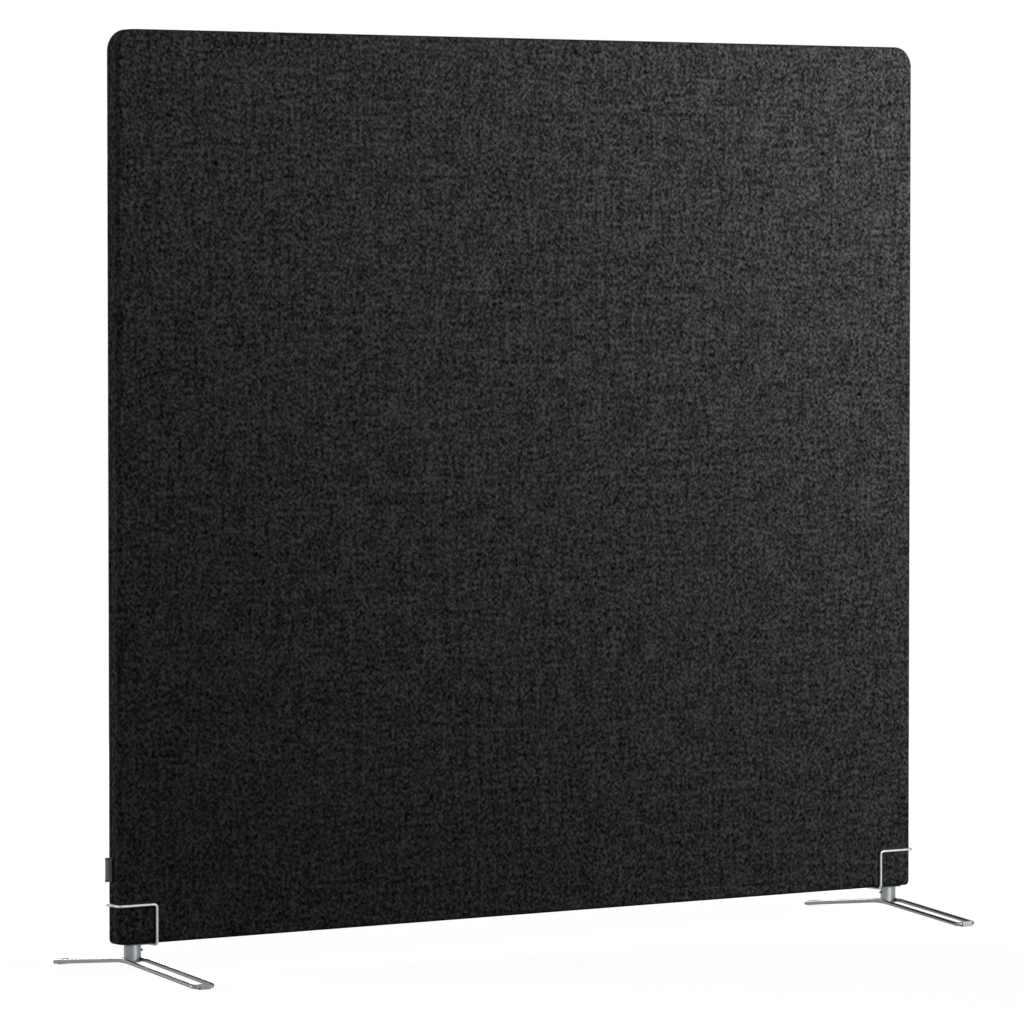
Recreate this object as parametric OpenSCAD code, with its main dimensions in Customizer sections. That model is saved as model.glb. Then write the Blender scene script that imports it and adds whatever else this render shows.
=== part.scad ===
// Acoustic divider screen: an upholstered panel on two wire clips with swivelling loop feet.
// Millimetres, +Z up, origin on the floor under the middle of the panel, front face towards -Y.

/* [Panel] */
// Width of the upholstered panel
panel_width = 1500; // [800:10:2000]
// Height of the upholstered panel
panel_height = 1350; // [800:10:1800]
// Gap between the floor and the panel
floor_gap = 49; // [46:1:70]
// Radius of the two top corners, seen from the front
top_corner_radius = 32; // [20:1:60]
// Radius of the two bottom corners, seen from the front
bottom_corner_radius = 7; // [7:0.5:12]

/* [Cover] */
// Thickness of the cover fabric
fabric_thickness = 1; // [0.8:0.1:1.5]
// Width of the groove that each seam draws into the edge
seam_width = 0.7; // [0.4:0.1:1]
// Distance from the middle plane to the seam between the band and the back face of the cover
back_seam = 5.5; // [4:0.5:10]
// Width of the slit between the two bottom flaps of the cover
flap_slit = 0.4; // [0.2:0.1:1]
// Width of the hook tape under the bottom rail
tape_width = 20; // [12:1:21]
// Distance from each bottom corner to the end of the tapes
tape_end = 20; // [10:1:60]

/* [Padding] */
// Thickness of the soft wadding on each face
wadding_thickness = 5; // [3:0.5:6]
// Thickness of the felt round the edge of the frame
edge_felt_thickness = 2; // [1:0.5:3]
// Clearance between soft layers that follow the same curve
layer_clearance = 0.2; // [0.1:0.1:0.5]
// Clearance round each core slab
core_clearance = 0.5; // [0.2:0.1:0.8]

/* [Timber frame] */
// Thickness of the rails, stiles and core slabs
frame_thickness = 22; // [18:1:30]
// Width of the rails and stiles
rail_width = 45; // [35:1:70]
// Diameter of the dowels
dowel_diameter = 8; // [6:1:10]
// Length of the dowels
dowel_length = 50; // [30:2:60]
// Distance between the two dowels of a joint
dowel_spacing = 22; // [16:1:24]

/* [Side tag] */
// Height of the folded tag
tag_height = 36; // [20:1:60]
// How far the tag stands out of the seam
tag_reach = 11.4; // [6:0.1:20]
// Thickness of the tag's ribbon
tag_ribbon = 0.5; // [0.3:0.1:0.8]
// Height of the tag's lower edge over the bottom of the panel
tag_rise = 93; // [80:1:300]

/* [Wire clip] */
// Diameter of the clip wire
wire_diameter = 4.3; // [3:0.1:5]
// Distance from the panel's side to the upright legs of the clip
clip_inset = 62.8; // [55:0.1:80]
// Height of the clip's level wires over the bottom of the panel
clip_height = 58; // [40:1:75]
// Bend radius of the wire, at its centre line
wire_bend_radius = 5.5; // [4:0.5:8]
// Clearance between the wire and the cloth
cloth_clearance = 0.3; // [0.2:0.1:0.6]
// Thickness of the saddle plate under the panel
saddle_thickness = 1.5; // [1:0.1:3]
// Depth of the saddle plate, front to back
saddle_depth = 30; // [22:1:33]
// Corner radius of the saddle plate
saddle_corner = 4; // [2:0.5:8]
// How far the saddle plate runs past the stem
saddle_margin = 16; // [10:1:20]

/* [Stem and post] */
// Distance from the panel's side to the stem
stem_inset = 32; // [28:1:36]
// Diameter of the stem
stem_diameter = 10; // [9:0.5:11]
// Length of the stem under the saddle plate
stem_length = 20; // [17:0.5:22]
// Chamfer at the foot of the stem
stem_chamfer = 1; // [0.5:0.1:1.5]
// Diameter of the riveted neck in the saddle plate
neck_diameter = 8; // [5:0.5:8.5]
// Depth of the groove that takes the point of the lock screw
groove_depth = 1; // [0.5:0.1:1.5]
// Running clearance between stem and bore, on the radius
bore_clearance = 0.05; // [0.02:0.01:0.1]
// Gap between the saddle plate and the top of the post
swivel_gap = 0.3; // [0.2:0.05:0.5]
// Gap under the stem in its bore
bore_end_gap = 0.5; // [0.3:0.1:1]
// Depth of the post, front to back
post_depth = 13.2; // [12.6:0.1:16]
// Radius of the post's bulging front and back
post_bulge = 23.7; // [20:0.1:40]
// How deep each rod is let into the post
rod_seat = 0.3; // [0.1:0.1:1]
// Height and width of the step round the post's top rim
post_rim = 0.8; // [0.4:0.1:1.2]

/* [Lock screw] */
// Diameter of the screw
screw_diameter = 4; // [3.5:0.1:4.2]
// Distance from the bottom of the panel to the screw's axis
screw_drop = 10.5; // [9:0.5:12]
// How far the screw stands out of the post
screw_reach = 3.5; // [1.5:0.5:5]
// Diameter of the screw's point
point_diameter = 2.5; // [2:0.1:3]
// Clearance of the screw's point in the groove
point_clearance = 0.15; // [0.1:0.05:0.3]
// Width of the hexagon socket, across its corners
socket_width = 2.3; // [2:0.1:2.6]
// Depth of the hexagon socket
socket_depth = 2.2; // [1:0.1:3]
// Chamfer round the outer end of the screw
screw_chamfer = 0.5; // [0.3:0.1:0.6]

/* [Foot loop] */
// Length of the foot
foot_length = 400; // [300:10:600]
// Width of the foot over its two rods
foot_width = 40; // [38:0.5:48]
// Diameter of the rod
rod_diameter = 6.5; // [5:0.5:8]
// How much higher the loop lies under the post than at its ends
foot_rise = 20; // [10:1:22]
// Bend radius of the loop's four corners, at the rod's centre line
corner_bend_radius = 6.5; // [5:0.5:12]
// Bend radius where each leg leaves the level middle, at the rod's centre line
knee_bend_radius = 40; // [20:1:80]
// How far each knee swells out all round where the rod is bent
knee_swell = 0.02; // [0.02:0.01:0.1]
// Length of the level middle of the loop
middle_length = 24; // [20:1:40]

/* [Glides] */
// Length of the glide on each end bar
glide_length = 18; // [10:1:20]
// Wall of the glide under and round the rod
glide_wall = 0.8; // [0.5:0.1:1.5]
// Height of the slot that lets the glide snap on
glide_slot = 2; // [1:0.5:3]

/* [Hidden] */
$fn = 64;

// Sides of a hexagon
hexagon_sides = 6;
// Quarter turn, half turn and the angle of a chamfer
quarter = 90;
half_turn = 180;
chamfer_angle = 45;
// Overrun of a cut past the face it opens
overrun = 1;

// Panel: half sizes, heights, and the depth from the middle plane to each layer
panel_half = panel_width / 2;
panel_top = floor_gap + panel_height;
frame_half = frame_thickness / 2;
face_roll = wadding_thickness + fabric_thickness;
panel_half_depth = frame_half + face_roll;
frame_inset = fabric_thickness + edge_felt_thickness;

// Frame: the heights of its joints and the middles of its stiles
rail_top_joint = panel_top - frame_inset - rail_width;
rail_low_joint = floor_gap + frame_inset + rail_width;
stile_length = rail_top_joint - rail_low_joint;
outer_stile_x = panel_half - frame_inset - rail_width / 2;
bay_width = outer_stile_x - rail_width;
tape_half = panel_half - bottom_corner_radius - tape_end;

// Clip: the planes that the wire runs in
wire_x_leg = panel_half - clip_inset;
wire_x_side = panel_half + cloth_clearance + wire_diameter / 2;
wire_y = panel_half_depth + cloth_clearance + wire_diameter / 2;
wire_z_low = floor_gap - wire_diameter / 2;
wire_z_high = floor_gap + clip_height;
saddle_z = floor_gap - saddle_thickness;
saddle_x_in = wire_x_leg + wire_diameter / 4;

// Stem, post and screw
stem_x = panel_half - stem_inset;
stem_z = saddle_z - stem_length;
bore_radius = stem_diameter / 2 + bore_clearance;
bore_z = stem_z - bore_end_gap;
screw_z = floor_gap - screw_drop;
groove_radius = stem_diameter / 2 - groove_depth;
groove_width = point_diameter + screw_diameter / 4;
hole_radius = screw_diameter / 2 + bore_clearance;
point_reach = groove_radius + point_clearance;
point_length = bore_radius - point_reach + point_clearance;

// Loop: the rods' middle lines
rod_half_pitch = (foot_width - rod_diameter) / 2;
rod_end_y = (foot_length - rod_diameter) / 2;
rod_z_end = glide_wall + rod_diameter / 2;
rod_z_middle = rod_z_end + foot_rise;
post_half_width = rod_half_pitch - rod_diameter / 2 + rod_seat;
post_z = rod_z_middle - rod_diameter / 2;
post_top = saddle_z - swivel_gap;
screw_end = post_half_width + screw_reach;

cloth = "#2b2c2d";
felt = "#8d8f8e";
timber = "#d9b98c";
steel = "#c4c8ca";

// Bent round rod, drawn stretch by stretch along +Z: what follows starts at each stretch's end

module straight(length, d) {
    cylinder(d = d, h = length);
    translate([0, 0, length]) children();
}

// A bend towards +X. Where it swells, it is thicker all round than the rod, which runs into it.
module bend(angle, radius, d, swell = 0) {
    translate([radius, 0, 0]) {
        mirror([1, 0, 0])
            rotate([quarter, 0, 0])
                rotate_extrude(angle = angle)
                    translate([radius, 0])
                        circle(d = d + 2 * swell);
        rotate([0, angle, 0])
            translate([-radius, 0, 0]) {
                if (swell > 0)
                    translate([0, 0, -d / 8])
                        cylinder(d = d, h = d / 8);
                children();
            }
    }
}

// Panel outline. These modules draw in the face plane: x right, y up, z towards the front.

// Stands a flat drawing up, so that its z points to the front
module stand() rotate([quarter, 0, 0]) children();

// The panel's outline, drawn in by inset
module outline(inset) {
    half = panel_half - inset;
    low = floor_gap + inset;
    high = panel_top - inset;
    top_r = top_corner_radius - inset;
    low_r = bottom_corner_radius - inset;
    translate([-half, low + low_r]) square([2 * half, high - low - top_r - low_r]);
    translate([top_r - half, low + low_r]) square([2 * (half - top_r), high - low - low_r]);
    translate([low_r - half, low]) square([2 * (half - low_r), high - low - top_r]);
    for (side = [-1, 1]) {
        translate([side * (half - top_r), high - top_r]) circle(top_r);
        translate([side * (half - low_r), low + low_r]) circle(low_r);
    }
}

// Runs a profile round the outline: its x is 0 at the outline and negative inwards
module round_panel(with_bottom = true) {
    side_run = panel_height - top_corner_radius - bottom_corner_radius;
    for (side = [0, 1])
        mirror([side, 0, 0]) {
            translate([panel_half - top_corner_radius, panel_top - top_corner_radius, 0])
                rotate_extrude(angle = quarter)
                    translate([top_corner_radius, 0])
                        children();
            translate([panel_half - bottom_corner_radius, floor_gap + bottom_corner_radius, 0])
                rotate([0, 0, -quarter])
                    rotate_extrude(angle = quarter)
                        translate([bottom_corner_radius, 0])
                            children();
            translate([panel_half, panel_top - top_corner_radius, 0])
                rotate([quarter, 0, 0])
                    linear_extrude(side_run)
                        children();
        }
    translate([top_corner_radius - panel_half, panel_top, 0])
        rotate([quarter, 0, quarter])
            linear_extrude(2 * (panel_half - top_corner_radius))
                children();
    if (with_bottom)
        translate([panel_half - bottom_corner_radius, floor_gap, 0])
            rotate([0, 0, half_turn])
                rotate([quarter, 0, quarter])
                    linear_extrude(2 * (panel_half - bottom_corner_radius))
                        children();
}

// The notch that a seam draws into the corner of an edge profile
module seam_notch(depth)
    translate([0, depth])
        rotate(chamfer_angle)
            square(seam_width, center = true);

// Cover

// One face of the cover, with its edge rolled back and run on to its seam
module face_cover(seam) {
    color(cloth) {
        translate([0, 0, frame_half + wadding_thickness])
            linear_extrude(fabric_thickness)
                outline(face_roll);
        round_panel()
            difference() {
                union() {
                    translate([-face_roll, frame_half])
                        intersection() {
                            difference() {
                                circle(face_roll);
                                circle(wadding_thickness);
                            }
                            square(face_roll);
                        }
                    if (seam < frame_half)
                        translate([-fabric_thickness, seam])
                            square([fabric_thickness, frame_half - seam]);
                }
                seam_notch(seam);
            }
    }
}

module front_cover() stand() face_cover(frame_half);

module back_cover() mirror([0, 1, 0]) stand() face_cover(back_seam);

// The band round the edge, with the slit between its two bottom flaps
module edge_band() {
    color(cloth)
        stand()
            difference() {
                round_panel()
                    difference() {
                        translate([-fabric_thickness, -back_seam])
                            square([fabric_thickness, frame_half + back_seam]);
                        seam_notch(frame_half);
                        seam_notch(-back_seam);
                    }
                translate([-tape_half, floor_gap - overrun, -flap_slit / 2])
                    cube([2 * tape_half, fabric_thickness + 2 * overrun, flap_slit]);
            }
}

// A ribbon folded in two, sewn into the rear seam of the left side
module side_tag() {
    fold_radius = 1.5 * tag_ribbon;
    straight_reach = tag_reach - fold_radius;
    color("#63656b")
        translate([-panel_half, back_seam, floor_gap + tag_rise])
            linear_extrude(tag_height)
                difference() {
                    union() {
                        translate([-straight_reach, -fold_radius])
                            square([straight_reach, 2 * fold_radius]);
                        translate([-straight_reach, 0]) circle(fold_radius);
                    }
                    translate([-straight_reach, 0]) circle(tag_ribbon / 2);
                    translate([-straight_reach, -tag_ribbon / 2])
                        square([straight_reach + overrun, tag_ribbon]);
                }
}

// Padding

// Soft sheet on one face, with a rounded rim under the rolled edge of the cover
module face_wadding() {
    rim_inset = face_roll + layer_clearance;
    color(felt) {
        translate([0, 0, frame_half])
            linear_extrude(wadding_thickness)
                outline(rim_inset);
        round_panel()
            translate([-rim_inset, frame_half])
                intersection() {
                    circle(wadding_thickness);
                    square(wadding_thickness);
                }
    }
}

module front_wadding() stand() face_wadding();

module back_wadding() mirror([0, 1, 0]) stand() face_wadding();

// Felt strip over the sides and the top of the frame
module edge_felt() {
    color(felt)
        stand()
            round_panel(with_bottom = false)
                translate([-frame_inset, -frame_half])
                    square([edge_felt_thickness, frame_thickness]);
}

// Stapled under the bottom rail, hooks down
module hook_tape() {
    color("#26272a")
        translate([-tape_half, -tape_width / 2, floor_gap + frame_inset - edge_felt_thickness / 2])
            cube([2 * tape_half, tape_width, edge_felt_thickness / 2]);
}

// Sewn inside the two bottom flaps, one on each side of the slit
module loop_tapes() {
    flap_tape = (tape_width - flap_slit) / 2;
    color("#36373a")
        for (side = [0, 1])
            mirror([0, side, 0])
                translate([-tape_half, flap_slit / 2, floor_gap + fabric_thickness])
                    cube([2 * tape_half, flap_tape, edge_felt_thickness / 2]);
}

// One slab of sound absorber in a bay of the frame
module core_slab() {
    color("#9fa39d")
        translate([rail_width / 2 + core_clearance, -frame_half, rail_low_joint + core_clearance])
            cube([
                bay_width - 2 * core_clearance,
                frame_thickness,
                stile_length - 2 * core_clearance
            ]);
}

module left_core() mirror([1, 0, 0]) core_slab();

module right_core() core_slab();

// Timber frame

// Two dowels across every joint between a stile and a rail
module dowel_pairs() {
    for (x = [-outer_stile_x, 0, outer_stile_x], z = [rail_low_joint, rail_top_joint], side = [-1, 1])
        translate([x + side * dowel_spacing / 2, 0, z])
            cylinder(d = dowel_diameter, h = dowel_length, center = true);
}

// The part of the frame's outline between two heights, bored for the dowels
module rail(low, high) {
    color(timber)
        difference() {
            stand()
                translate([0, 0, -frame_half])
                    linear_extrude(frame_thickness)
                        intersection() {
                            outline(frame_inset);
                            translate([-panel_half, low]) square([panel_width, high - low]);
                        }
            dowel_pairs();
        }
}

module stile(x) {
    color(timber)
        difference() {
            translate([x - rail_width / 2, -frame_half, rail_low_joint])
                cube([rail_width, frame_thickness, stile_length]);
            dowel_pairs();
        }
}

module top_rail() rail(rail_top_joint, panel_top);

module bottom_rail() rail(floor_gap, rail_low_joint);

module left_stile() stile(-outer_stile_x);

module right_stile() stile(outer_stile_x);

module mid_stile() stile(0);

module frame_dowels() color("#c9a46c") dowel_pairs();

// Wire clip, drawn on the right and mirrored to the left

module on_left() mirror([1, 0, 0]) children();

// The front half of the hoop, from the middle of its bottom run to the middle of its side run
module half_hoop() {
    d = wire_diameter;
    r = wire_bend_radius;
    translate([wire_x_leg, 0, wire_z_low])
        rotate([quarter, 0, 0])
            rotate([0, 0, quarter])
                straight(wire_y - r, d)
                bend(quarter, r, d)
                straight(wire_z_high - wire_z_low - 2 * r, d)
                rotate([0, 0, -quarter])
                bend(quarter, r, d)
                straight(wire_x_side - wire_x_leg - 2 * r, d)
                rotate([0, 0, quarter])
                bend(quarter, r, d)
                straight(wire_y - r, d);
}

// A closed hoop of wire that cages the bottom corner of the panel
module wire_hoop() {
    color(steel)
        for (side = [0, 1])
            mirror([0, side, 0])
                half_hoop();
}

// Plate under the panel, welded to the hoop's bottom run and bored for the stem's neck
module saddle_plate() {
    length = stem_x + saddle_margin - saddle_x_in;
    color(steel)
        difference() {
            translate([saddle_x_in, -saddle_depth / 2, saddle_z])
                linear_extrude(saddle_thickness) {
                    square([length - saddle_corner, saddle_depth]);
                    translate([0, saddle_corner])
                        square([length, saddle_depth - 2 * saddle_corner]);
                    for (y = [saddle_corner, saddle_depth - saddle_corner])
                        translate([length - saddle_corner, y]) circle(saddle_corner);
                }
            translate([wire_x_leg, 0, wire_z_low])
                rotate([quarter, 0, 0])
                    cylinder(d = wire_diameter, h = saddle_depth + 2 * overrun, center = true);
            translate([stem_x, 0, saddle_z - overrun])
                cylinder(d = neck_diameter, h = saddle_thickness + 2 * overrun);
        }
}

// Turned stem: riveted neck, grooved shank and chamfered foot
module stem() {
    r = stem_diameter / 2;
    groove_low = screw_z - groove_width / 2;
    color("#aeb2b5")
        translate([stem_x, 0, 0])
            rotate_extrude()
                polygon([
                    [0, stem_z],
                    [r - stem_chamfer, stem_z],
                    [r, stem_z + stem_chamfer],
                    [r, groove_low],
                    [groove_radius, groove_low],
                    [groove_radius, groove_low + groove_width],
                    [r, groove_low + groove_width],
                    [r, saddle_z],
                    [neck_diameter / 2, saddle_z],
                    [neck_diameter / 2, floor_gap],
                    [0, floor_gap]
                ]);
}

// Foot, drawn on the right and mirrored to the left

// A quarter of the loop: half of one side's level middle, its knee, leg and corner, and half an
// end bar, which runs past the middle plane for foot_loop to trim
module quarter_loop() {
    d = rod_diameter;
    middle = middle_length / 2;
    slope = atan(foot_rise / (rod_end_y - middle));
    knee_setback = knee_bend_radius * tan(slope / 2);
    leg_length = norm([foot_rise, rod_end_y - middle]) - knee_setback - corner_bend_radius;
    translate([rod_half_pitch, 0, rod_z_middle])
        rotate([quarter, 0, 0])
            rotate([0, 0, -quarter])
                straight(middle - knee_setback, d)
                bend(slope, knee_bend_radius, d, knee_swell)
                straight(leg_length, d)
                rotate([0, 0, -quarter])
                bend(quarter, corner_bend_radius, d)
                straight(rod_half_pitch - corner_bend_radius + overrun, d);
}

// One closed loop of rod, level under the post and sloping down to both ends
module foot_loop() {
    color(steel)
        translate([stem_x, 0, 0])
            for (side = [0, 1], end = [0, 1])
                mirror([side, 0, 0])
                    mirror([0, end, 0])
                        difference() {
                            quarter_loop();
                            translate([-foot_width, -foot_length, 0])
                                cube([foot_width, foot_length, post_top]);
                        }
}

// The post's section: a slim oval with blunt ends, drawn in by inset
module post_section(inset) {
    bulge_middle = post_bulge - post_depth / 2;
    intersection() {
        translate([0, bulge_middle]) circle(post_bulge - inset);
        translate([0, -bulge_middle]) circle(post_bulge - inset);
        circle(post_half_width - inset);
    }
}

// Post between the rods, bored for the stem and drilled for the lock screw
module foot_post() {
    color(steel)
        translate([stem_x, 0, 0])
            difference() {
                union() {
                    translate([0, 0, post_z])
                        linear_extrude(post_top - post_rim - post_z)
                            post_section(0);
                    translate([0, 0, post_top - post_rim])
                        linear_extrude(post_rim)
                            post_section(post_rim / 2);
                }
                translate([0, 0, bore_z])
                    cylinder(r = bore_radius, h = post_top - bore_z + overrun);
                translate([0, 0, screw_z])
                    rotate([0, -quarter, 0])
                        cylinder(r = hole_radius, h = post_half_width + overrun);
                for (side = [-1, 1])
                    translate([side * rod_half_pitch, 0, rod_z_middle])
                        rotate([quarter, 0, 0])
                            cylinder(d = rod_diameter, h = post_depth + 2 * overrun, center = true);
            }
}

// Snap-on sleeves under the two end bars, flat where they stand on the floor
module foot_glides() {
    outer = rod_diameter / 2 + glide_wall;
    color("#b9bcbc")
        for (side = [0, 1])
            translate([stem_x - glide_length / 2, 0, 0])
                mirror([0, side, 0])
                    translate([0, rod_end_y, rod_z_end])
                        rotate([quarter, 0, quarter])
                            linear_extrude(glide_length)
                                difference() {
                                    union() {
                                        circle(outer);
                                        translate([-outer, -outer]) square([2 * outer, outer]);
                                    }
                                    circle(d = rod_diameter);
                                    translate([-outer - overrun, -glide_slot / 2])
                                        square([outer + overrun, glide_slot]);
                                }
}

// Socket set screw on the inner side of the post, with a dog point in the stem's groove
module lock_screw() {
    r = screw_diameter / 2;
    shoulder = point_reach + point_length;
    color("#8f9497")
        translate([stem_x, 0, screw_z])
            rotate([0, -quarter, 0])
                difference() {
                    rotate_extrude()
                        polygon([
                            [0, point_reach],
                            [point_diameter / 2, point_reach],
                            [point_diameter / 2, shoulder],
                            [r, shoulder],
                            [r, screw_end - screw_chamfer],
                            [r - screw_chamfer, screw_end],
                            [0, screw_end]
                        ]);
                    translate([0, 0, screw_end - socket_depth])
                        cylinder(d = socket_width, h = socket_depth + overrun, $fn = hexagon_sides);
                }
}

front_cover();
back_cover();
edge_band();
side_tag();
front_wadding();
back_wadding();
edge_felt();
hook_tape();
loop_tapes();
left_core();
right_core();
top_rail();
bottom_rail();
left_stile();
right_stile();
mid_stile();
frame_dowels();
on_left() wire_hoop();  // left_wire_hoop
on_left() saddle_plate();  // left_saddle_plate
on_left() stem();  // left_stem
wire_hoop();  // right_wire_hoop
saddle_plate();  // right_saddle_plate
stem();  // right_stem
on_left() foot_loop();  // left_foot_loop
on_left() foot_post();  // left_foot_post
on_left() foot_glides();  // left_foot_glides
on_left() lock_screw();  // left_lock_screw
foot_loop();  // right_foot_loop
foot_post();  // right_foot_post
foot_glides();  // right_foot_glides
lock_screw();  // right_lock_screw
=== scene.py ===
"""Looks of the acoustic divider screen: cloth, wire, feet, studio and camera, in metres."""

import math

import bmesh
import bpy
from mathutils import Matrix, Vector, geometry, noise


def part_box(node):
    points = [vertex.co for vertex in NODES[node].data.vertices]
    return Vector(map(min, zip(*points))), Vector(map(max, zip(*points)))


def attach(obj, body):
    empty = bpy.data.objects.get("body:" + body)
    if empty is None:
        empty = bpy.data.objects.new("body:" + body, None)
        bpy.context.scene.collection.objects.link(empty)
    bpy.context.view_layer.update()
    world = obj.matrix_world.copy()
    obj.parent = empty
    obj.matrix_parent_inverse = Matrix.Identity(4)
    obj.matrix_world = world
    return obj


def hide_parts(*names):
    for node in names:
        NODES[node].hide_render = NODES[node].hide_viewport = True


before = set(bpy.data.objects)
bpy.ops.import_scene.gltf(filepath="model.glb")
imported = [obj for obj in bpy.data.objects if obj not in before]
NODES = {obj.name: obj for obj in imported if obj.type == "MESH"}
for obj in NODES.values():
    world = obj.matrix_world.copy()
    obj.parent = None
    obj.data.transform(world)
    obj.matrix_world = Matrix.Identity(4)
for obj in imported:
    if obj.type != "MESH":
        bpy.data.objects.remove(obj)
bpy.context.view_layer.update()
MM = 0.001

# Camera, where the photograph was taken from. The lens is in millimetres.
CAMERA_AT = (-5.5388, -7.7291, 1.0778)
CAMERA_LOOKS_AT = (-0.0279, 0.0, 0.6709)
CAMERA_LENS = 216.8

# Studio. The floor's own light, where 1 is white, rises between two distances from the object.
FILL = 0.09
FLOOR_REACH = 60.0
FLOOR_GREY = 0.16
GLOW_FROM, GLOW_TO = 1.0, 4.0
GLOW_NEAR, GLOW_FAR = 0.935, 1.0
# Soft boxes: name, place, the point that each looks at, width and height, watts
LAMPS = (
    ("key", (1.39, -2.14, 1.3), (2.73, 0, 2.88), (0.8, 0.8), 164),
    ("upper", (0.3, -2.4, 2.73), (-1.65, 0, 2.13), (0.9, 0.9), 35),
    ("rim", (-5.8, 2.9, 1.7), (-0.75, 0, 0.7), (2.2, 2.2), 215),
    ("back", (1.6, 3.6, 1.0), (0.1, 0, 0.8), (1.4, 1.4), 100),
    ("low_strip", (5.3, -7.8, 0.42), (0.0, 0, 0.2), (1.6, 0.8), 180),
)

# Panel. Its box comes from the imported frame, and its corners' radii are as in the CAD.
PANEL_LOW, PANEL_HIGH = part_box("edge_band")
PANEL_HALF = PANEL_HIGH.x
FACE_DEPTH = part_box("back_cover")[1].y
FRONT_SEAM = -PANEL_LOW.y
BACK_SEAM = PANEL_HIGH.y
ROLL_DEPTH = FRONT_SEAM
ROLL_RADIUS = FACE_DEPTH - ROLL_DEPTH
TOP_RADIUS = 32 * MM
BOTTOM_RADIUS = 7 * MM
LEAST_RADIUS = 1.5 * MM
# Corners, seen from the front, in the order that the outline runs: side, up or down, radius
CORNERS = ((1, 1, TOP_RADIUS), (-1, 1, TOP_RADIUS), (-1, -1, BOTTOM_RADIUS), (1, -1, BOTTOM_RADIUS))

# Cloth meshes
CLOTH_THICKNESS = 0.9 * MM
STATION_STEP = 5 * MM
LEAST_ARC_STATIONS = 6
ROLL_STEPS = 9
SHORT_ROLL_ANGLE = math.radians(70)
RUN_ON_STEPS = 3
DENSE_INSETS_MM = (6, 8, 10.5, 14, 18, 24, 32)
GRID_PITCH = 24 * MM
GRID_MARGIN = DENSE_INSETS_MM[-1] * MM + 0.7 * GRID_PITCH
SEAM_SLOPE_MM = ((0.05, 1.9), (0.12, 1.4), (0.25, 0.9), (0.5, 0.45), (0.95, 0.16), (1.5, 0.05))
BAND_ROWS_MM = (-8.4, -7.4, -6, -4.5, -3, -1.6, -0.9, -0.45, -0.15, 0.15, 0.45, 0.9, 1.6, 2.4, 3.2)
BAND_BULGE = 0.15 * MM
FRONT_SEED, BACK_SEED, BAND_SEED = 1, 2, 5

# Waves of the faces and gathers at the seams: waves a metre, height in millimetres
SLOW_WAVE, FINE_WAVE = (3.1, 0.16), (11, 0.05)
SLOW_GATHER, FINE_GATHER = (42, 0.16), (120, 0.07)
# How much of the gathers shows on the roll, where it runs on, at its seam and on the band's slopes
ROLL_PUCKER, RUN_ON_PUCKER, SEAM_PUCKER, SLOPE_PUCKER = 0.6, 0.9, 0.3, 0.4
PUCKER_REACH_MM = 12

# Where the cover's two bottom flaps meet
BOTTOM_RUN = 2
SLIT_END = PANEL_HALF - 27 * MM
SLIT_DEPTH = 0.8 * MM
SLIT_HALF_WIDTH = 0.5 * MM

# Melange. Grains are so many a metre along each axis of the cloth.
YARN_PITCH = 1.3 * MM
WOBBLE_GRAINS, WOBBLE = 110.0, 3.0
WARP_GRAINS, WEFT_GRAINS = (430, 60, 1), (60, 430, 1)
FLECK_GRAINS = 170.0
FIBRE_GRAINS = (310, 100, 1)
FIBRE_TURNS = (0.8, -0.75)
LONG_SLUBS, UPRIGHT_SLUBS = (75, 14, 1), (14, 80, 1)
CLOUD_GRAINS = 24.0
FUZZ_GRAINS = 1600.0
MEAN_TONE, TONE_POWER = 0.62, 2.0
YARN_ROUNDNESS = 0.5
# Painted shade: the share of the colour kept in the hollows between the yarns.
HOLLOW_SHADE = 0.6

# Side tag
RIBBON = 0.5 * MM
TAG_BOW = 0.5 * MM
TAG_STEPS, FOLD_STEPS, TAG_ROWS = 14, 8, 24
RIB_PITCH, THREAD_SPACING = 0.7 * MM, 0.45 * MM
SELVEDGE = 1.4 * MM
# A dark mark near each end of the ribbon, by its fold.
END_MARK_COLOUR = (0.012, 0.012, 0.016)
END_MARK_FROM_END, END_MARK_HALF_WIDTH, END_MARK_LENGTH = 2.2 * MM, 0.7 * MM, 5.5 * MM
# Painted shade: the ribbon's colour darkens towards its fold, over this width and by this share.
FOLD_SHADE_COLOUR = (0.13, 0.13, 0.14)
FOLD_SHADE_WIDTH, FOLD_SHADE_SHARE = 6 * MM, 0.6

# Welds at the right-hand end, in millimetres: x, half of the length, z, radius
PLATE_WELD = (689.2, 12, 47.15, 0.8)
POST_WELDS = (("inner", (703.9, 5.5, 26.7, 1.1)), ("outer", (732.1, 5.5, 26.7, 1.1)))
PLATE_WELD_SEED, POST_WELD_SEED = 3, 4
WELD_STEPS, WELD_SIDES = 26, 10

# Lock screw, in millimetres
SCREW_SIDES = 36
POINT_RADIUS, POINT_LENGTH = 1.25, 1.15
SHOULDER_RADIUS, CREST_RADIUS = 1.5, 2.0
THREAD_START, THREAD_END_GAP = 1.35, 0.5
THREAD_PITCH, THREAD_DEPTH, STEPS_A_TURN = 0.7, 0.38, 8
SOCKET_RADIUS, SOCKET_DEPTH = 1.15, 2.2
AXIS_HOLE = 0.02
ROUND, THREADED, HEXAGON = range(3)


def unit_noise(x, y, z, seed):
    """Smooth noise from -1 to 1 at that place."""
    return noise.noise(Vector((x + 17.3 * seed, y - 9.1 * seed, z + 5.7 * seed)))


# Outline of the panel


def corner_point(corner, angle, inset):
    """The point at that angle of a corner's arc, on the outline moved in by inset."""
    sx, sz, radius = CORNERS[corner % 4]
    radius = max(radius - inset, LEAST_RADIUS)
    middle_z = (PANEL_LOW.z + PANEL_HIGH.z) / 2
    centre_x = sx * (PANEL_HALF - inset - radius)
    centre_z = middle_z + sz * ((PANEL_HIGH.z - PANEL_LOW.z) / 2 - inset - radius)
    return centre_x + radius * math.cos(angle), centre_z + radius * math.sin(angle)


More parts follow.
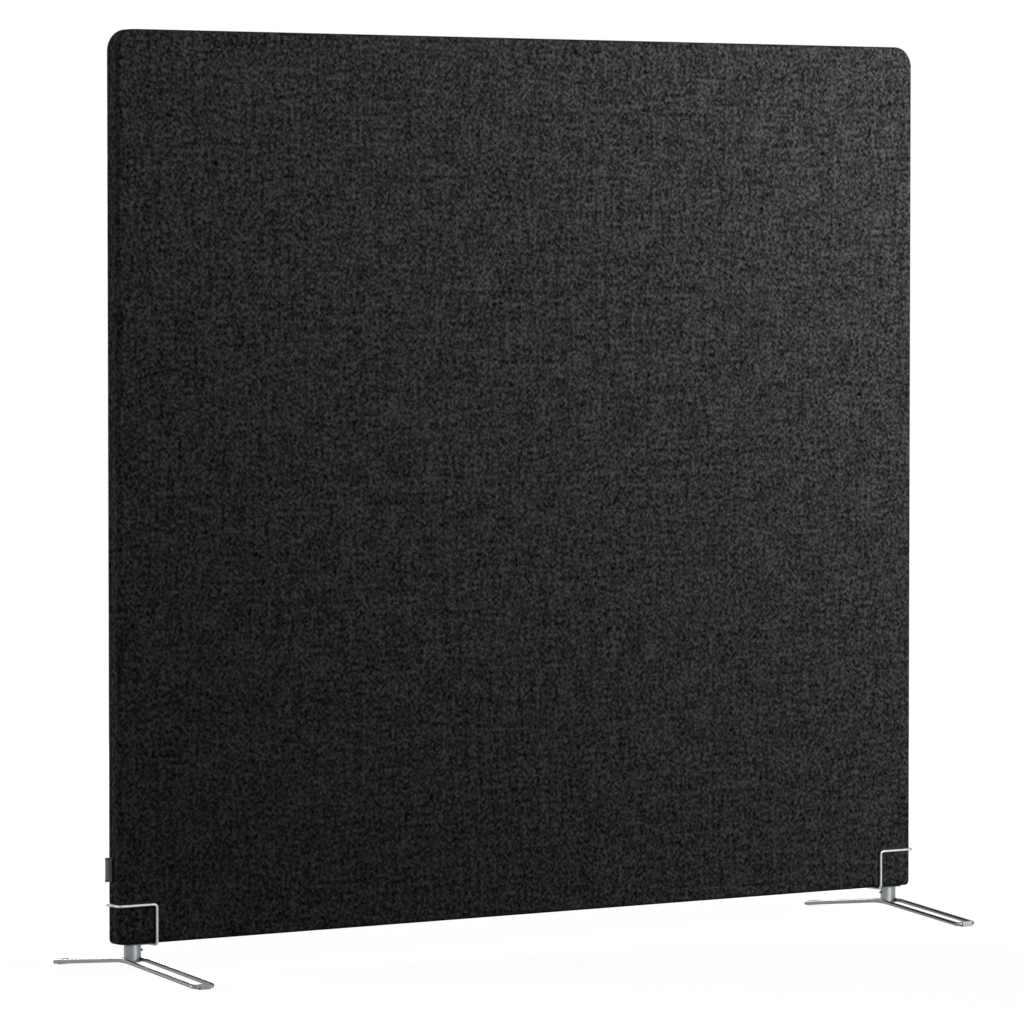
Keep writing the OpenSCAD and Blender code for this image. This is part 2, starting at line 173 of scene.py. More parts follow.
def outline_stations():
    """Stations round the outline: (corner, share of its arc or of the side after it, on side, run)."""
    stations = []
    run = 0.0
    for corner, (_sx, _sz, radius) in enumerate(CORNERS):
        arc = radius * math.pi / 2
        count = max(LEAST_ARC_STATIONS, round(arc / STATION_STEP))
        stations += [(corner, k / count, False, run + k / count * arc) for k in range(count)]
        run += arc
        angle = (corner + 1) * math.pi / 2
        length = math.dist(corner_point(corner, angle, 0), corner_point(corner + 1, angle, 0))
        count = round(length / STATION_STEP)
        stations += [(corner, k / count, True, run + k / count * length) for k in range(count)]
        run += length
    return stations, run


STATIONS, OUTLINE_LENGTH = outline_stations()


def inset_point(station, inset):
    """Where a station lies on the outline moved in by inset."""
    corner, share, on_side, _run = station
    if not on_side:
        return corner_point(corner, (corner + share) * math.pi / 2, inset)
    angle = (corner + 1) * math.pi / 2
    x0, z0 = corner_point(corner, angle, inset)
    x1, z1 = corner_point(corner + 1, angle, inset)
    return x0 + share * (x1 - x0), z0 + share * (z1 - z0)


# Meshes


def join_rings(mesh, ring_a, ring_b, flip):
    """Quads between two rings of the same count."""
    count = len(ring_a)
    for k in range(count):
        quad = (ring_a[k], ring_a[(k + 1) % count], ring_b[(k + 1) % count], ring_b[k])
        mesh.faces.new(tuple(reversed(quad)) if flip else quad)


def close_tube(mesh, rings):
    """Faces along a row of rings, and a cap on each end."""
    for ring, after in zip(rings, rings[1:]):
        join_rings(mesh, ring, after, False)
    mesh.faces.new(rings[0])
    mesh.faces.new(rings[-1])


def mesh_piece(name, mesh, material, body, node_name=None):
    """Turns a bmesh into a smooth piece that rides on a body and may stand for a CAD node."""
    bmesh.ops.recalc_face_normals(mesh, faces=mesh.faces)
    data = bpy.data.meshes.new(name)
    mesh.to_mesh(data)
    mesh.free()
    data.polygons.foreach_set("use_smooth", [True] * len(data.polygons))
    data.materials.append(material)
    piece = bpy.data.objects.new(name, data)
    bpy.context.scene.collection.objects.link(piece)
    if node_name:
        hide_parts(node_name)
    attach(piece, body)
    return piece


# Cloth pieces


def face_relief(x, z, seed):
    """How far the taut face stands out, in metres: slow, shallow waves of the wadding."""
    slow = unit_noise(x * SLOW_WAVE[0], z * SLOW_WAVE[0], 0.0, seed)
    fine = unit_noise(x * FINE_WAVE[0], z * FINE_WAVE[0], 4.0, seed)
    return (SLOW_WAVE[1] * slow + FINE_WAVE[1] * fine) * MM


def pucker(run, weight, seed):
    """Small gathers that the seam pulls into the rolled edge."""
    slow = unit_noise(run * SLOW_GATHER[0], 0.3, 0.0, seed)
    fine = unit_noise(run * FINE_GATHER[0], 0.7, 2.0, seed)
    return (SLOW_GATHER[1] * slow + FINE_GATHER[1] * fine) * MM * weight


def face_profile(seam):
    """A face cloth's outer profile, from inside to its seam: (inset, depth, unrolled inset, pucker)."""
    rows = []
    for inset in reversed(DENSE_INSETS_MM):
        near = max(0.0, 1 - (inset - DENSE_INSETS_MM[0]) / PUCKER_REACH_MM)
        rows.append((inset * MM, FACE_DEPTH, inset * MM, ROLL_PUCKER * near))
    run_on = ROLL_DEPTH - seam - SEAM_SLOPE_MM[0][1] * MM
    last_angle = math.pi / 2 if run_on > 0 else SHORT_ROLL_ANGLE
    for k in range(1, ROLL_STEPS + 1):
        angle = last_angle * k / ROLL_STEPS
        inset = ROLL_RADIUS * (1 - math.sin(angle))
        depth = ROLL_DEPTH + ROLL_RADIUS * math.cos(angle)
        rows.append((inset, depth, ROLL_RADIUS * (1 - angle), ROLL_PUCKER))
    if run_on > 0:
        unrolled = rows[-1][2]
        for k in range(1, RUN_ON_STEPS + 1):
            share = k / RUN_ON_STEPS
            weight = ROLL_PUCKER + (RUN_ON_PUCKER - ROLL_PUCKER) * share
            rows.append((0.0, ROLL_DEPTH - share * run_on, unrolled - share * run_on, weight))
    for inset_mm, over_mm in SEAM_SLOPE_MM:
        inset, depth = inset_mm * MM, seam + over_mm * MM
        if depth < rows[-1][1]:
            step = math.dist((inset, depth), rows[-1][:2])
            rows.append((inset, depth, rows[-1][2] - step, SEAM_PUCKER))
    return rows


def face_cloth(name, side, seam, seed, node_name, material):
    """One face of the cover as a thin closed shell, with its edge rolled round to its seam."""
    mesh = bmesh.new()
    weave = mesh.verts.layers.float_vector.new("weave")
    rows = face_profile(seam)
    sheets = []
    for layer, drop in (("outer", 0.0), ("inner", CLOTH_THICKNESS)):
        rings = []
        for inset, depth, unrolled, weight in rows:
            ring = []
            lean = max(0.0, 1 - inset / ROLL_RADIUS)
            for station in STATIONS:
                move = pucker(station[3], weight, seed) - drop
                x, z = inset_point(station, inset - move * lean)
                y = depth + move * (1 - lean)
                if lean == 0:
                    y += face_relief(x, z, seed) * (1 - weight)
                vert = mesh.verts.new((x, side * y, z))
                vert[weave] = (*inset_point(station, unrolled), 0)
                ring.append(vert)
            rings.append(ring)
        sheets.append(rings)
        outward = (side > 0) == (layer == "outer")
        for inner, outer in zip(rings, rings[1:]):
            join_rings(mesh, inner, outer, outward)
        fill_face(mesh, rings[0], side, seed, weave, FACE_DEPTH - drop, not outward)
    join_rings(mesh, sheets[0][-1], sheets[1][-1], side > 0)
    piece = mesh_piece(name, mesh, material, "screen", node_name)


def fill_face(mesh, ring, side, seed, weave, depth, flip):
    """Triangles over the middle of a face, from the innermost ring and a grid of points."""
    edge = [Vector((v.co.x, v.co.z)) for v in ring]
    reach = PANEL_HALF - GRID_MARGIN
    across = round(2 * reach / GRID_PITCH)
    low, high = PANEL_LOW.z + GRID_MARGIN, PANEL_HIGH.z - GRID_MARGIN
    up = round((high - low) / GRID_PITCH)
    places = list(edge)
    for i in range(across + 1):
        for j in range(up + 1):
            x = -PANEL_HALF + GRID_MARGIN + i * 2 * reach / across
            places.append(Vector((x, low + j * (high - low) / up)))
    count = len(edge)
    loop = [(k, (k + 1) % count) for k in range(count)]
    points, _edges, faces, origin, _oe, _of = geometry.delaunay_2d_cdt(places, loop, [], 1, 1e-7)
    verts = []
    for point, came_from in zip(points, origin):
        if came_from and came_from[0] < count:
            verts.append(ring[came_from[0]])
        else:
            relief = face_relief(point.x, point.y, seed)
            vert = mesh.verts.new((point.x, side * (depth + relief), point.y))
            vert[weave] = (point.x, point.y, 0)
            verts.append(vert)
    for face in faces:
        corners = [verts[k] for k in face]
        if len(set(corners)) == len(corners):
            mesh.faces.new(tuple(reversed(corners)) if flip else corners)


def band_profile():
    """The edge band's outer profile from the front seam to the back one: (inset, depth, pucker)."""
    front = [(inset * MM, over * MM - FRONT_SEAM, SLOPE_PUCKER) for inset, over in reversed(SEAM_SLOPE_MM)]
    back = [(inset * MM, BACK_SEAM - over * MM, SLOPE_PUCKER) for inset, over in SEAM_SLOPE_MM]
    low, high = front[-1][1], back[0][1]
    middle = []
    for depth_mm in BAND_ROWS_MM:
        share = (depth_mm * MM - low) / (high - low)
        middle.append((-BAND_BULGE * math.sin(math.pi * share), depth_mm * MM, 1.0))
    return front + middle + back


def band_cloth(name, node_name, material):
    """The strip between the two seams, dented where its two bottom flaps meet."""
    mesh = bmesh.new()
    weave = mesh.verts.layers.float_vector.new("weave")
    profile = band_profile()
    rings = []
    for layer in ("outer", "inner"):
        rows = profile if layer == "outer" else reversed(profile)
        for inset, depth, weight in rows:
            ring = []
            for station in STATIONS:
                corner, _share, on_side, run = station
                sunk = 0.0 if layer == "outer" else CLOTH_THICKNESS
                if layer == "outer" and on_side and corner == BOTTOM_RUN:
                    if abs(inset_point(station, 0)[0]) < SLIT_END:
                        sunk = SLIT_DEPTH * math.exp(-((depth / SLIT_HALF_WIDTH) ** 2))
                x, z = inset_point(station, inset + sunk - pucker(run, weight, BAND_SEED))
                vert = mesh.verts.new((x, depth, z))
                vert[weave] = (run, depth, 0)
                ring.append(vert)
            rings.append(ring)
    for a, b in zip(rings, rings[1:] + rings[:1]):
        join_rings(mesh, a, b, False)
    piece = mesh_piece(name, mesh, material, "screen", node_name)


# Materials


def add(tree, kind, settings=None, **inputs):
    """Adds a shader node. Inputs are sockets or values; i0 and so on name a socket by its number."""
    made = tree.nodes.new("ShaderNode" + kind)
    for key, value in (settings or {}).items():
        setattr(made, key, value)
    for key, value in inputs.items():
        by_number = key[0] == "i" and key[1:].isdigit()
        socket = made.inputs[int(key[1:]) if by_number else key.replace("_", " ")]
        if isinstance(value, bpy.types.NodeSocket):
            tree.links.new(value, socket)
        else:
            socket.default_value = value
    return made


def calc(tree, operation, *values):
    """A Math node's result."""
    made = add(tree, "Math", {"operation": operation}, **{f"i{k}": v for k, v in enumerate(values)})
    return made.outputs[0]


def blend_colour(tree, factor, a, b):
    """Colour a where factor is 0 and b where it is 1."""
    made = add(tree, "Mix", {"data_type": "RGBA"}, i0=factor)
    for socket, value in ((made.inputs[6], a), (made.inputs[7], b)):
        if isinstance(value, bpy.types.NodeSocket):
            tree.links.new(value, socket)
        else:
            socket.default_value = (*value, 1)
    return made.outputs[2]


def ramp(tree, factor, low, high):
    """Factor mapped from low..high to 0..1, and clamped."""
    made = add(tree, "MapRange", {"clamp": True}, Value=factor, From_Min=low, From_Max=high)
    return made.outputs[0]


def stretched(tree, vector, scale):
    """The vector times a scale for each axis."""
    return add(tree, "Mapping", Vector=vector, Scale=scale).outputs[0]


def turned(tree, vector, angle, grains):
    """The vector turned by an angle about Z and then scaled to so many grains a metre along each axis."""
    size = tuple(1 / g for g in grains)
    settings = {"vector_type": "TEXTURE"}
    return add(tree, "Mapping", settings, Vector=vector, Rotation=(0, 0, angle), Scale=size).outputs[0]


def speckle(tree, vector, scale, detail=2.0, rough=0.5):
    """Noise from 0 to 1 at so many grains a metre."""
    made = add(tree, "TexNoise", Vector=vector, Scale=scale, Detail=detail, Roughness=rough)
    return made.outputs["Fac"]


def blank_material(name, **values):
    """A material with a Principled shader, whose plain values are set on its sockets."""
    material = bpy.data.materials.new(name)
    material.use_nodes = True
    shader = material.node_tree.nodes["Principled BSDF"]
    for key, value in values.items():
        shader.inputs[key.replace("_", " ")].default_value = value
    return material, material.node_tree, shader


def bumped(tree, shader, height, distance, strength=1.0):
    """Feeds a height into the shader's normal."""
    made = add(tree, "Bump", Height=height, Distance=distance, Strength=strength)
    tree.links.new(made.outputs[0], shader.inputs["Normal"])


def woven_cloth(name, dark, light):
    """Melange cloth: a plain weave with long slubs, flecked where dark and light fibres mix."""
    material, tree, shader = blank_material(name, Roughness=0.9, Specular_IOR_Level=0.015)
    place = add(tree, "Attribute", {"attribute_name": "weave"}).outputs["Vector"]
    wobble = calc(tree, "MULTIPLY_ADD", speckle(tree, place, WOBBLE_GRAINS, 1.0), WOBBLE, -WOBBLE / 2)
    parts = add(tree, "SeparateXYZ", Vector=place)
    across = calc(tree, "MULTIPLY_ADD", parts.outputs[0], math.pi / YARN_PITCH, wobble)
    along = calc(tree, "MULTIPLY_ADD", parts.outputs[1], math.pi / YARN_PITCH, wobble)
    crossing = calc(tree, "MULTIPLY", calc(tree, "SINE", across), calc(tree, "SINE", along))
    pillow = calc(tree, "POWER", calc(tree, "ABSOLUTE", crossing), YARN_ROUNDNESS)
    warp_tone = speckle(tree, stretched(tree, place, WARP_GRAINS), 1.0, 1.0)
    weft_tone = speckle(tree, stretched(tree, place, WEFT_GRAINS), 1.0, 1.0)
    warp_on_top = calc(tree, "GREATER_THAN", crossing, 0.0)
    yarn_tone = add(tree, "Mix", i0=warp_on_top, i2=weft_tone, i3=warp_tone).outputs[0]
    left_fibres, right_fibres = (turned(tree, place, turn, FIBRE_GRAINS) for turn in FIBRE_TURNS)
    layers_and_weights = (
        (speckle(tree, place, FLECK_GRAINS, 1.5), 1.5),
        (speckle(tree, left_fibres, 1.0, 1.0), 0.8),
        (speckle(tree, right_fibres, 1.0, 1.0), 0.8),
        (yarn_tone, 0.5),
        (speckle(tree, stretched(tree, place, LONG_SLUBS), 1.0, 1.4, 0.9), 0.54),
        (speckle(tree, stretched(tree, place, UPRIGHT_SLUBS), 1.0, 1.4, 0.9), 0.48),
        (speckle(tree, place, CLOUD_GRAINS, 2.0), 0.15),
    )
    tone = MEAN_TONE - sum(weight for _layer, weight in layers_and_weights) / 2
    for layer, weight in layers_and_weights:
        tone = calc(tree, "MULTIPLY_ADD", layer, weight, tone)
    tone = calc(tree, "POWER", ramp(tree, tone, 0.0, 1.0), TONE_POWER)
    # Painted shade: the colour darkens in the hollows between the yarns.
    painted_hollow_shade = calc(tree, "MULTIPLY_ADD", pillow, 1 - HOLLOW_SHADE, HOLLOW_SHADE)
    shade = calc(tree, "MULTIPLY", tone, painted_hollow_shade)
    tree.links.new(blend_colour(tree, shade, dark, light), shader.inputs["Base Color"])
    fuzz = speckle(tree, place, FUZZ_GRAINS, 2.0)
    height = calc(tree, "MULTIPLY_ADD", fuzz, 0.5, pillow)
    bumped(tree, shader, height, 0.3 * MM, 0.9)
    return material


def plated_steel(name, tone, rough, grain=(900, 900, 900)):
    """Bright plated steel: faint clouding, drawing marks and fine wear in the gloss."""
    material, tree, shader = blank_material(name, Metallic=1.0)
    place = add(tree, "TexCoord").outputs["Object"]
    marks = speckle(tree, stretched(tree, place, grain), 1.0, 3.0, 0.6)
    cloud = speckle(tree, place, 45.0, 3.0)
    mixed = calc(tree, "MULTIPLY_ADD", marks, 0.5, calc(tree, "MULTIPLY", cloud, 0.5))
    factor = ramp(tree, mixed, 0.3, 0.7)
    dim = tuple(0.8 * c for c in tone)
    tree.links.new(blend_colour(tree, factor, dim, tone), shader.inputs["Base Color"])
    tree.links.new(calc(tree, "MULTIPLY_ADD", factor, 0.08, rough), shader.inputs["Roughness"])
    bumped(tree, shader, marks, 0.02 * MM, 0.4)
    return material


def moulded_plastic(name, tone):
    """Pale plastic with a fine moulded grain and scuffs."""
    material, tree, shader = blank_material(name, Roughness=0.5)
    place = add(tree, "TexCoord").outputs["Object"]
    scuff = speckle(tree, place, 260.0, 4.0, 0.65)
    dim = tuple(0.78 * c for c in tone)
    colour = blend_colour(tree, ramp(tree, scuff, 0.35, 0.65), dim, tone)
    tree.links.new(colour, shader.inputs["Base Color"])
    tree.links.new(calc(tree, "ADD", 0.35, calc(tree, "MULTIPLY", scuff, 0.3)), shader.inputs["Roughness"])
    bumped(tree, shader, speckle(tree, place, 2400.0, 2.0), 0.05 * MM, 0.4)
    return material


def sawn_timber(name, pale, dark, grain):
    """Planed softwood, its grain drawn out along one axis."""
    material, tree, shader = blank_material(name, Roughness=0.62)
    place = add(tree, "TexCoord").outputs["Object"]
    rings = speckle(tree, stretched(tree, place, grain), 1.0, 4.0, 0.55)
    bands = calc(tree, "FRACT", calc(tree, "MULTIPLY", rings, 9.0))
    fibres = speckle(tree, stretched(tree, place, tuple(9 * g for g in grain)), 1.0, 2.0)
    factor = calc(tree, "ADD", calc(tree, "MULTIPLY", bands, 0.6), calc(tree, "MULTIPLY", fibres, 0.4))
    tree.links.new(blend_colour(tree, factor, pale, dark), shader.inputs["Base Color"])
    bumped(tree, shader, fibres, 0.1 * MM, 0.4)
    return material


def felted(name, dark, light, grains):
    """Fibre fleece or mineral wool: soft mottling and a fibrous bump."""
    material, tree, shader = blank_material(name, Roughness=1.0, Sheen_Weight=0.2)
    place = add(tree, "TexCoord").outputs["Object"]
    fibres = speckle(tree, place, grains, 4.0, 0.7)
    colour = blend_colour(tree, ramp(tree, fibres, 0.3, 0.7), dark, light)
    tree.links.new(colour, shader.inputs["Base Color"])
    bumped(tree, shader, fibres, 0.6 * MM, 0.7)
    return material


def dress(node_name, material):
    """Gives a CAD node its finish."""
    for place in NODES[node_name].material_slots:
        place.material = material


# Pieces


def tag_line(low, high):
    """The ribbon's middle line from above, from its seam round the fold and back: (x, y, distance)."""
    middle = (low.y + high.y) / 2
    bend = high.y - middle - RIBBON / 2
    run = high.x - low.x - bend
    line = [(high.x - run * k / TAG_STEPS, middle - bend, run * k / TAG_STEPS) for k in range(TAG_STEPS)]
    for k in range(FOLD_STEPS + 1):
        angle = math.pi * k / FOLD_STEPS
        x = high.x - run - bend * math.sin(angle)
        line.append((x, middle - bend * math.cos(angle), run + bend * angle))
    for k in range(1, TAG_STEPS + 1):
        to_seam = run * (TAG_STEPS - k) / TAG_STEPS
        line.append((high.x - to_seam, middle + bend, 2 * run - to_seam))
    return line


def ribbon_tag(material):
    """The side tag: a ribbon folded over and a little bowed."""
    low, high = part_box("side_tag")
    reach, height = high.x - low.x, high.z - low.z
    mesh = bmesh.new()
    weave = mesh.verts.layers.float_vector.new("weave")
    line = tag_line(low, high)
    count = len(line)
    grid = []
    for row in range(TAG_ROWS + 1):
        z = low.z + height * row / TAG_ROWS
        level = []
        for k, (x, y, along) in enumerate(line):
            before, after = line[max(k - 1, 0)], line[min(k + 1, count - 1)]
            tangent = Vector((after[0] - before[0], after[1] - before[1])).normalized()
            out = Vector((tangent.y, -tangent.x))
            share = (high.x - x) / reach
            bow = TAG_BOW * share * share * math.sin(math.pi * row / TAG_ROWS)
            pair = []
            for offset in (RIBBON / 2, -RIBBON / 2):
                vert = mesh.verts.new((x + out.x * offset, y + out.y * offset - bow, z))
                vert[weave] = (along, z, 0)
                pair.append(vert)
            level.append(pair)
        grid.append(level)
    for below, above in zip(grid, grid[1:]):
        for k in range(count - 1):
            mesh.faces.new((below[k][0], below[k + 1][0], above[k + 1][0], above[k][0]))
            mesh.faces.new((below[k][1], above[k][1], above[k + 1][1], below[k + 1][1]))
        mesh.faces.new((below[0][0], above[0][0], above[0][1], below[0][1]))
        mesh.faces.new((below[-1][0], below[-1][1], above[-1][1], above[-1][0]))
    for level in (grid[0], grid[-1]):
        for k in range(count - 1):
            mesh.faces.new((level[k][0], level[k][1], level[k + 1][1], level[k + 1][0]))
    tag = mesh_piece("folded_tag", mesh, material, "screen", "side_tag")


def ribbed_ribbon(name, dark, light):
    """Woven ribbon: fine ribs, paler selvedges, painted shade that darkens it towards the fold, and a dark
    mark near each end by the fold.
    """
    low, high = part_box("side_tag")
    material, tree, shader = blank_material(name, Roughness=0.7, Sheen_Weight=0.2)
    place = add(tree, "Attribute", {"attribute_name": "weave"}).outputs["Vector"]
    parts = add(tree, "SeparateXYZ", Vector=place)
    ribs = calc(tree, "SINE", calc(tree, "MULTIPLY", parts.outputs[1], 2 * math.pi / RIB_PITCH))
    threads = calc(tree, "SINE", calc(tree, "MULTIPLY", parts.outputs[0], 2 * math.pi / THREAD_SPACING))
    height = calc(tree, "ADD", ribs, calc(tree, "MULTIPLY", threads, 0.5))
    mottle = speckle(tree, place, 900.0, 2.0)
    half_ribs = calc(tree, "MULTIPLY", ramp(tree, height, -1.5, 1.5), 0.5)
    factor = calc(tree, "ADD", half_ribs, calc(tree, "MULTIPLY", mottle, 0.5))
    off_middle = calc(tree, "ABSOLUTE", calc(tree, "SUBTRACT", parts.outputs[1], (low.z + high.z) / 2))
    to_end = calc(tree, "SUBTRACT", (high.z - low.z) / 2, off_middle)
    to_fold = calc(tree, "ABSOLUTE", calc(tree, "SUBTRACT", parts.outputs[0], high.x - low.x))
    selvedge = calc(tree, "LESS_THAN", to_end, SELVEDGE)
    # A dark mark near each end, by the fold.
    at_row = calc(tree, "COMPARE", to_end, END_MARK_FROM_END, END_MARK_HALF_WIDTH)
    end_mark = calc(tree, "MULTIPLY", at_row, calc(tree, "LESS_THAN", to_fold, END_MARK_LENGTH))
    factor = calc(tree, "MULTIPLY_ADD", selvedge, 0.4, factor)
    # Painted shade: the colour darkens towards the fold.
    from_fold = ramp(tree, to_fold, 0.0, FOLD_SHADE_WIDTH)
    fold_shade = calc(tree, "MULTIPLY_ADD", from_fold, -FOLD_SHADE_SHARE, FOLD_SHADE_SHARE)
    cloth_colour = blend_colour(tree, fold_shade, blend_colour(tree, factor, dark, light), FOLD_SHADE_COLOUR)
    tree.links.new(blend_colour(tree, end_mark, cloth_colour, END_MARK_COLOUR), shader.inputs["Base Color"])
    bumped(tree, shader, height, 0.06 * MM, 0.5)
    return material


# Metal details


def left_or_right(side):
    """-1 for the left end of the panel and 1 for the right."""
    return -1 if side == "left" else 1


def weld_bead(name, weld, seed, side, body, material):
    """A rippled bead of weld from front to back."""
    x, half_length, z, radius = weld
    mirror = Vector((left_or_right(side) * MM, MM, MM))
    a, b = Vector((x, -half_length, z)) * mirror, Vector((x, half_length, z)) * mirror
    along = (b - a).normalized()
    across = along.cross(Vector((0, 0, 1))).normalized()
    up = across.cross(along)
    mesh = bmesh.new()
    rings = []
    for k in range(WELD_STEPS + 1):
        share = k / WELD_STEPS
        taper = min(1.0, 0.25 + 5 * min(share, 1 - share))
        ripple = 1 + 0.1 * math.sin(2.4 * k) + 0.12 * unit_noise(k * 0.37, 0, 0, seed)
        centre = a.lerp(b, share)
        size = radius * MM * taper * ripple
        ring = []
        for j in range(WELD_SIDES):
            turn = 2 * math.pi * j / WELD_SIDES
            ring.append(mesh.verts.new(centre + size * (math.cos(turn) * across + math.sin(turn) * up)))
        rings.append(ring)
    close_tube(mesh, rings)
    mesh_piece(name, mesh, material, body)


def threaded_screw(side, material):
    """The lock screw with its dog point, its thread and its hexagon socket."""
    low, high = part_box(side + "_lock_screw")
    sign = -left_or_right(side)
    axis_z = (low.z + high.z) / 2
    point, end = (low.x, high.x) if sign > 0 else (high.x, low.x)
    length = abs(end - point) / MM
    step = THREAD_PITCH / STEPS_A_TURN
    thread_steps = int((length - THREAD_END_GAP - THREAD_START) / step)
    rows = [
        (0, AXIS_HOLE, ROUND),
        (0, POINT_RADIUS - 0.25, ROUND),
        (0.25, POINT_RADIUS, ROUND),
        (POINT_LENGTH, POINT_RADIUS, ROUND),
        (POINT_LENGTH, SHOULDER_RADIUS, ROUND),
    ]
    rows += [(THREAD_START + k * step, CREST_RADIUS, THREADED) for k in range(thread_steps + 1)]
    rows += [
        (length, SHOULDER_RADIUS, ROUND),
        (length, SOCKET_RADIUS, HEXAGON),
        (length - SOCKET_DEPTH, SOCKET_RADIUS, HEXAGON),
        (length - SOCKET_DEPTH - 0.1, AXIS_HOLE, ROUND),
    ]
    mesh = bmesh.new()
    rings = []
    for along, radius, kind in rows:
        ring = []
        for j in range(SCREW_SIDES):
            turn = 2 * math.pi * j / SCREW_SIDES
            size = radius
            if kind == THREADED:
                size -= THREAD_DEPTH * abs(2 * ((along / THREAD_PITCH - j / SCREW_SIDES) % 1) - 1)
            if kind == HEXAGON:
                size *= math.cos(math.pi / 6) / math.cos(turn % (math.pi / 3) - math.pi / 6)
            y, z = size * math.cos(turn) * MM, size * math.sin(turn) * MM
            ring.append(mesh.verts.new((point + sign * along * MM, y, axis_z + z)))
        rings.append(ring)
    close_tube(mesh, rings)
    name, node_name = side + "_threaded_screw", side + "_lock_screw"
    mesh_piece(name, mesh, material, side + "_screw", node_name)


# Studio


def pale_floor():
    """A wide pale floor that reads as white and keeps a soft shadow near the object."""
    data = bpy.data.meshes.new("studio_floor")
    corners = [(x * FLOOR_REACH, y * FLOOR_REACH, 0) for x, y in ((-1, -1), (1, -1), (1, 1), (-1, 1))]
    data.from_pydata(corners, [], [(0, 1, 2, 3)])
    floor = bpy.data.objects.new("studio_floor", data)
    bpy.context.scene.collection.objects.link(floor)
    material = bpy.data.materials.new("pale_floor")
    material.use_nodes = True
    tree = material.node_tree
    tree.nodes.clear()
    place = add(tree, "TexCoord").outputs["Object"]
    away = add(tree, "VectorMath", {"operation": "LENGTH"}, i0=place).outputs["Value"]
    glow = add(tree, "MapRange", Value=away, From_Min=GLOW_FROM, From_Max=GLOW_TO,
               To_Min=GLOW_NEAR, To_Max=GLOW_FAR).outputs[0]
    strength = calc(tree, "MULTIPLY", seen_rays(tree), glow)
    light = add(tree, "Emission", Strength=strength).outputs[0]
    matte = add(tree, "BsdfDiffuse", Color=(FLOOR_GREY, FLOOR_GREY, FLOOR_GREY, 1)).outputs[0]
    both = add(tree, "AddShader", i0=matte, i1=light).outputs[0]
    add(tree, "OutputMaterial", Surface=both)
    data.materials.append(material)


def seen_rays(tree):
    """1 for rays from the camera and for those that metal or glass sends on, else 0."""
    path = add(tree, "LightPath").outputs
    total = calc(tree, "ADD", path["Is Camera Ray"], path["Is Glossy Ray"])
    total = calc(tree, "ADD", total, path["Is Transmission Ray"])
    return calc(tree, "MINIMUM", total, 1.0)


def white_world(ambient):
    """White behind everything, and a low even light on the object."""
    world = bpy.data.worlds.new("studio_world")
    world.use_nodes = True
    tree = world.node_tree
    tree.nodes.clear()
    seen = seen_rays(tree)
    strength = calc(tree, "ADD", ambient, calc(tree, "MULTIPLY", seen, 1 - ambient))
    light = add(tree, "Background", Color=(1, 1, 1, 1), Strength=strength).outputs[0]
    add(tree, "OutputWorld", Surface=light)
    bpy.context.scene.world = world


def soft_lamp(name, place, looks_at, size, watts):
    """A soft box, width by height."""
    data = bpy.data.lights.new(name, "AREA")
    data.shape = "RECTANGLE"
    data.size, data.size_y = size
    data.energy = watts
    lamp = bpy.data.objects.new(name, data)
    lamp.location = place
    lamp.rotation_euler = (Vector(looks_at) - Vector(place)).to_track_quat("-Z", "Y").to_euler()
    lamp.visible_camera = False
    bpy.context.scene.collection.objects.link(lamp)


def photo_camera():
    """The photograph's camera."""
    data = bpy.data.cameras.new("photo_camera")
    data.lens = CAMERA_LENS
    data.clip_end = 200
    camera = bpy.data.objects.new("photo_camera", data)
    camera.location = CAMERA_AT
    towards = Vector(CAMERA_LOOKS_AT) - Vector(CAMERA_AT)
    camera.rotation_euler = towards.to_track_quat("-Z", "Y").to_euler()
    bpy.context.scene.collection.objects.link(camera)
    bpy.context.scene.camera = camera


# Build

photo_camera()
pale_floor()
white_world(FILL)
for lamp in LAMPS:
    soft_lamp(*lamp)
bpy.context.scene.view_settings.view_transform = "Standard"

cloth = woven_cloth("charcoal_melange", (0.002, 0.002, 0.002), (0.0735, 0.074, 0.0737))
face_cloth("front_cloth", -1, FRONT_SEAM, FRONT_SEED, "front_cover", cloth)
face_cloth("back_cloth", 1, BACK_SEAM, BACK_SEED, "back_cover", cloth)
band_cloth("edge_cloth", "edge_band", cloth)
ribbon_tag(ribbed_ribbon("grey_ribbon", (0.54, 0.545, 0.57), (0.84, 0.85, 0.88)))

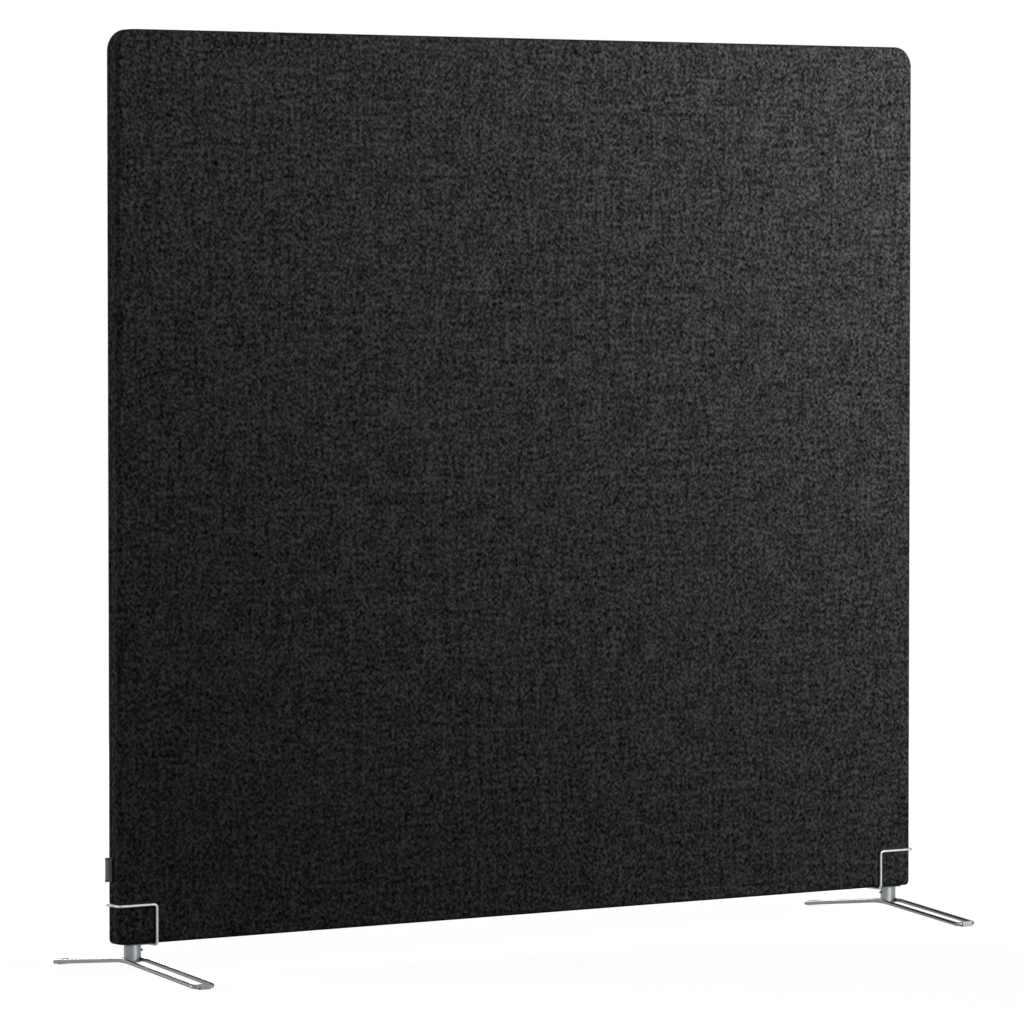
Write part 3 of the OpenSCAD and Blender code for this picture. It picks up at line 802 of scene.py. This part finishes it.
wire_steel = plated_steel("bright_wire", (0.42, 0.435, 0.445), 0.32)
rod_steel = plated_steel("bright_rod", (0.2, 0.212, 0.216), 0.26)
post_steel = plated_steel("turned_post", (0.232, 0.246, 0.254), 0.32, (200, 200, 3200))
screw_steel = plated_steel("dark_screw", (0.14, 0.145, 0.15), 0.35)
# Painted shade: the saddle plate has the wire's bright plating, but its colour is darkened to stand in for
# the shade under the panel.
shaded_plate_steel = plated_steel("plate_painted_shade", (0.06, 0.062, 0.065), 0.42)
weld_steel = plated_steel("weld_steel", (0.12, 0.123, 0.127), 0.35)
glide_plastic = moulded_plastic("pale_plastic", (0.58, 0.6, 0.61))
for side in ("left", "right"):
    dress(side + "_wire_hoop", wire_steel)
    dress(side + "_saddle_plate", shaded_plate_steel)
    dress(side + "_stem", post_steel)
    dress(side + "_foot_post", post_steel)
    dress(side + "_foot_loop", rod_steel)
    dress(side + "_foot_glides", glide_plastic)
    threaded_screw(side, screw_steel)
    weld_bead(side + "_plate_weld", PLATE_WELD, PLATE_WELD_SEED, side, "screen", weld_steel)
    for place, weld in POST_WELDS:
        name = side + "_" + place + "_post_weld"
        weld_bead(name, weld, POST_WELD_SEED, side, side + "_foot", weld_steel)

pale_wood, dark_wood = (0.66, 0.46, 0.26), (0.5, 0.31, 0.15)
rail_timber = sawn_timber("rail_timber", pale_wood, dark_wood, (3, 90, 90))
stile_timber = sawn_timber("stile_timber", pale_wood, dark_wood, (90, 90, 3))
fleece = felted("fleece", (0.42, 0.42, 0.4), (0.75, 0.75, 0.72), 420.0)
mineral_wool = felted("mineral_wool", (0.22, 0.24, 0.2), (0.45, 0.47, 0.42), 300.0)
tape_pile = felted("tape_pile", (0.015, 0.015, 0.018), (0.05, 0.05, 0.055), 1600.0)
HIDDEN_FINISHES = (
    (rail_timber, ("top_rail", "bottom_rail")),
    (stile_timber, ("left_stile", "right_stile", "mid_stile", "frame_dowels")),
    (fleece, ("front_wadding", "back_wadding", "edge_felt")),
    (mineral_wool, ("left_core", "right_core")),
    (tape_pile, ("hook_tape", "loop_tapes")),
)
for finish, names in HIDDEN_FINISHES:
    for name in names:
        dress(name, finish)
